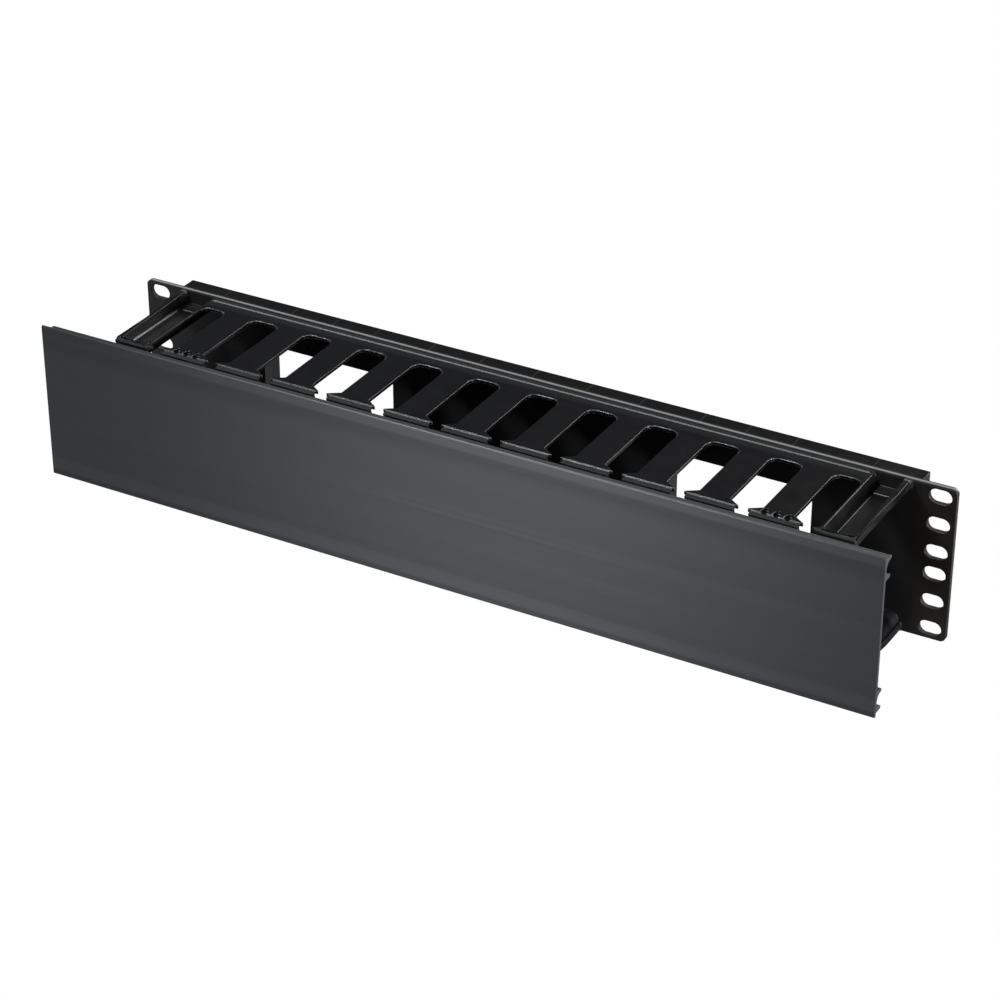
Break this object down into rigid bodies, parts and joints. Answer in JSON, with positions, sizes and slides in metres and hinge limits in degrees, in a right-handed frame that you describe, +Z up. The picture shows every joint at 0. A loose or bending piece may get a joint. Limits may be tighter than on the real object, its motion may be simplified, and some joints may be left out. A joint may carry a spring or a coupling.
{
  "type": "horizontal cable manager",
  "caption": "Black horizontal rack cable manager: a channel with rows of flared fingers along its top and bottom, cable pass-throughs, and a full-width cover that snaps on and hinges up.",
  "frame": {"origin": "centre of the rack hole pattern, on the rear face of the mounting plate, which lies against the rack rails", "axes": "+X across the rack to the right as seen from the front, +Y back into the rack, +Z up; the cover is on the -Y side"},
  "size_m": [0.4968, 0.093, 0.0912],
  "materials": {
    "black_abs": "moulded satin black",
    "charcoal_pvc": "extruded satin charcoal"
  },
  "bodies": {
    "base": {"base_panel": "black_abs"},
    "cover": {"front_cover": "charcoal_pvc"}
  },
  "joints": [
    {"name": "cover_hinge", "type": "hinge", "parent": "base", "child": "cover", "pos_m": [0, -0.075, 0.03745], "axis": [-1, 0, 0], "range_deg": [0, 80]}
  ]
}
